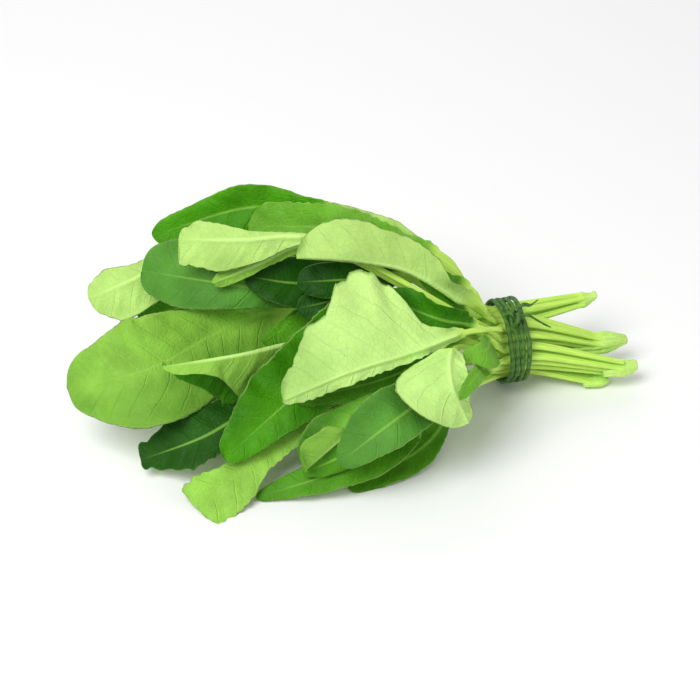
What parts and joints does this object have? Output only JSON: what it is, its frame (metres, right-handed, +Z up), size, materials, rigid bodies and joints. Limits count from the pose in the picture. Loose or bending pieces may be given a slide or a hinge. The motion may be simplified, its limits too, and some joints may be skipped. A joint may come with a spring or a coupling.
{
  "type": "spinach bunch",
  "caption": "Bunch of fresh spinach lying on its side, green leaves fanned out and pale stalks held by a twisted band near the cut ends.",
  "frame": {"origin": "middle of the footprint at the level of the surface the bunch lies on", "axes": "+X from the leaf tips towards the cut stalk ends, +Z up, -Y towards the side the open leaves face"},
  "size_m": [0.2826, 0.175, 0.1028],
  "materials": {
    "leaf_deep": "satin dark green leaf",
    "leaf_mid": "satin mid green leaf",
    "leaf_pale": "matt pale green leaf underside",
    "crown": "pale green cut stalk base",
    "band": "dark green soft twine"
  },
  "bodies": {
    "root": {"leaf_rest_short": "leaf_deep", "leaf_rest_back": "leaf_deep", "leaf_rest_mid": "leaf_deep", "leaf_back_low": "leaf_mid", "leaf_back_mid": "leaf_mid", "leaf_back_pale": "leaf_pale", "leaf_front_dark": "leaf_deep", "leaf_front_long": "leaf_mid", "leaf_front_sliver": "leaf_mid", "leaf_low_tip": "leaf_deep", "leaf_low_pale": "leaf_pale", "leaf_left_sliver": "leaf_mid", "leaf_left_pale": "leaf_pale", "leaf_left_big": "leaf_mid", "leaf_inner_a": "leaf_mid", "leaf_inner_b": "leaf_mid", "leaf_top_far": "leaf_mid", "leaf_blue": "leaf_mid", "leaf_top_mid": "leaf_mid", "leaf_shade_a": "leaf_deep", "leaf_shade_b": "leaf_deep", "leaf_rolled": "leaf_mid", "leaf_bright": "leaf_mid", "leaf_shade_c": "leaf_deep", "leaf_mid_band": "leaf_mid", "leaf_folded": "leaf_pale", "leaf_grey": "leaf_mid", "leaf_neck_a": "leaf_mid", "leaf_neck_b": "leaf_mid", "leaf_curled": "leaf_pale", "leaf_pale_upper": "leaf_pale", "leaf_ridge": "leaf_pale", "leaf_frill": "leaf_mid", "leaf_hero": "leaf_pale", "leaf_hanging": "leaf_pale", "leaf_collar_a": "leaf_mid", "leaf_collar_b": "leaf_mid", "crown_top": "crown", "crown_middle": "crown", "crown_front": "crown", "crown_low": "crown", "crown_back": "crown", "band_loop_1": "band", "band_loop_2": "band", "band_loop_3": "band", "band_loop_4": "band", "band_knot": "band", "band_tail_1": "band", "band_tail_2": "band"}
  },
  "joints": []
}
